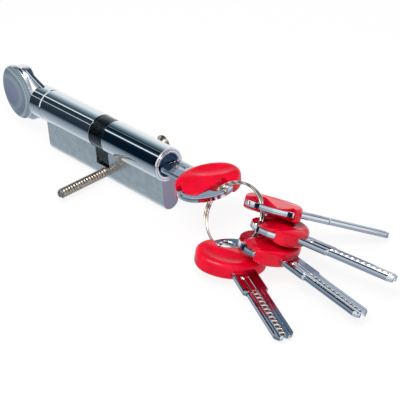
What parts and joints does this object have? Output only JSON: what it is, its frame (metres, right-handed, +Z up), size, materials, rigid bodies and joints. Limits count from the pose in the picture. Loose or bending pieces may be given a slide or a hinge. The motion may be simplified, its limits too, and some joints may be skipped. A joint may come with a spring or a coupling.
{
  "type": "lock cylinder",
  "caption": "Double-ended profile lock cylinder with a pin-tumbler key side, a thumb knob, a fixing screw and capped keys on a split ring.",
  "frame": {"origin": "on the plug's axis, at the middle of the cam", "axes": "+X along the plug towards the key, +Z up with the leg pointing down, +Y towards the fixing screw's head"},
  "size_m": [0.2561, 0.0909, 0.0397],
  "materials": {
    "chrome_case": "polished nickel chrome plate, satin on the leg",
    "dark_chrome": "polished dark chrome plate",
    "black_steel": "blackened sintered steel, glossy",
    "nickel_steel": "nickel-plated steel",
    "spring_steel": "bright",
    "brass_pins": "machined",
    "key_nickel": "polished nickel silver",
    "red_cap": "glossy crimson red"
  },
  "bodies": {
    "case": {"housing": "chrome_case", "chamber_stoppers": "brass_pins"},
    "plug": {"key_plug": "chrome_case", "clip_key_side": "spring_steel", "key_pin_1": "brass_pins", "key_pin_2": "brass_pins", "key_pin_3": "brass_pins", "key_pin_4": "brass_pins", "key_pin_5": "brass_pins", "key_pin_6": "brass_pins"},
    "cam": {"cam": "black_steel", "clutch_coupler": "nickel_steel"},
    "knob": {"knob_spindle": "nickel_steel", "clip_knob_side": "spring_steel", "knob": "dark_chrome", "knob_grub_screw": "black_steel"},
    "fixing_screw": {"fixing_screw": "nickel_steel"},
    "key_in_lock": {"key_blank_1": "key_nickel", "key_cap_1": "red_cap"},
    "split_ring": {"split_ring": "nickel_steel"},
    "loose_key_2": {"key_blank_2": "key_nickel", "key_cap_2": "red_cap"},
    "loose_key_3": {"key_blank_3": "key_nickel", "key_cap_3": "red_cap"},
    "loose_key_4": {"key_blank_4": "key_nickel", "key_cap_4": "red_cap"},
    "loose_key_5": {"key_blank_5": "key_nickel", "key_cap_5": "red_cap"},
    "driver_1": {"driver_pin_1": "brass_pins", "driver_spring_1": "spring_steel"},
    "driver_2": {"driver_pin_2": "brass_pins", "driver_spring_2": "spring_steel"},
    "driver_3": {"driver_pin_3": "brass_pins", "driver_spring_3": "spring_steel"},
    "driver_4": {"driver_pin_4": "brass_pins", "driver_spring_4": "spring_steel"},
    "driver_5": {"driver_pin_5": "brass_pins", "driver_spring_5": "spring_steel"},
    "driver_6": {"driver_pin_6": "brass_pins", "driver_spring_6": "spring_steel"}
  },
  "joints": [
    {"name": "plug_turn", "type": "hinge", "parent": "case", "child": "plug", "pos_m": [0, 0, 0], "axis": [1, 0, 0], "continuous": true},
    {"name": "cam_turn", "type": "hinge", "parent": "case", "child": "cam", "pos_m": [0, 0, 0], "axis": [1, 0, 0], "continuous": true},
    {"name": "knob_turn", "type": "hinge", "parent": "case", "child": "knob", "pos_m": [0, 0, 0], "axis": [1, 0, 0], "continuous": true},
    {"name": "screw_turn", "type": "hinge", "parent": "case", "child": "fixing_screw", "pos_m": [0, 0, -0.02], "axis": [0, 1, 0], "continuous": true},
    {"name": "key_slide", "type": "slide", "parent": "plug", "child": "key_in_lock", "axis": [1, 0, 0], "range_m": [0, 0.04]},
    {"name": "ring_swing", "type": "hinge", "parent": "key_in_lock", "child": "split_ring", "pos_m": [0.07925, -0.00031, 0], "axis": [-0.4496, -0.5685, -0.689], "range_deg": [-3, 4]},
    {"name": "key_2_swing", "type": "hinge", "parent": "split_ring", "child": "loose_key_2", "pos_m": [0.09941, -0.01246, -0.0167], "axis": [0.9021, 0.2957, 0.3142], "range_deg": [-3, 3]},
    {"name": "key_3_swing", "type": "hinge", "parent": "split_ring", "child": "loose_key_3", "pos_m": [0.10742, -0.00645, -0.00962], "axis": [0.2945, 0.6022, 0.742], "range_deg": [-3, 3]},
    {"name": "key_4_swing", "type": "hinge", "parent": "split_ring", "child": "loose_key_4", "pos_m": [0.10785, -0.00196, -0.00398], "axis": [-0.178, 0.6046, 0.7764], "range_deg": [-2, 2]},
    {"name": "key_5_swing", "type": "hinge", "parent": "split_ring", "child": "loose_key_5", "pos_m": [0.10462, 0.00226, 0.00157], "axis": [-0.635, 0.4584, 0.6218], "range_deg": [-3, 2]},
    {"name": "driver_1_slide", "type": "slide", "parent": "case", "child": "driver_1", "axis": [0, 0, -1], "range_m": [0, 0.001], "stiffness_N_per_m": 100, "springref_m": -0.002, "deforming": ["driver_spring_1"]},
    {"name": "driver_2_slide", "type": "slide", "parent": "case", "child": "driver_2", "axis": [0, 0, -1], "range_m": [0, 0.001], "stiffness_N_per_m": 100, "springref_m": -0.002, "deforming": ["driver_spring_2"]},
    {"name": "driver_3_slide", "type": "slide", "parent": "case", "child": "driver_3", "axis": [0, 0, -1], "range_m": [0, 0.001], "stiffness_N_per_m": 100, "springref_m": -0.002, "deforming": ["driver_spring_3"]},
    {"name": "driver_4_slide", "type": "slide", "parent": "case", "child": "driver_4", "axis": [0, 0, -1], "range_m": [0, 0.001], "stiffness_N_per_m": 100, "springref_m": -0.002, "deforming": ["driver_spring_4"]},
    {"name": "driver_5_slide", "type": "slide", "parent": "case", "child": "driver_5", "axis": [0, 0, -1], "range_m": [0, 0.001], "stiffness_N_per_m": 100, "springref_m": -0.002, "deforming": ["driver_spring_5"]},
    {"name": "driver_6_slide", "type": "slide", "parent": "case", "child": "driver_6", "axis": [0, 0, -1], "range_m": [0, 0.001], "stiffness_N_per_m": 100, "springref_m": -0.002, "deforming": ["driver_spring_6"]}
  ],
  "couplings": [
    {"joint": "cam_turn", "follows": "plug_turn", "ratio": 1},
    {"joint": "knob_turn", "follows": "plug_turn", "ratio": 1}
  ]
}
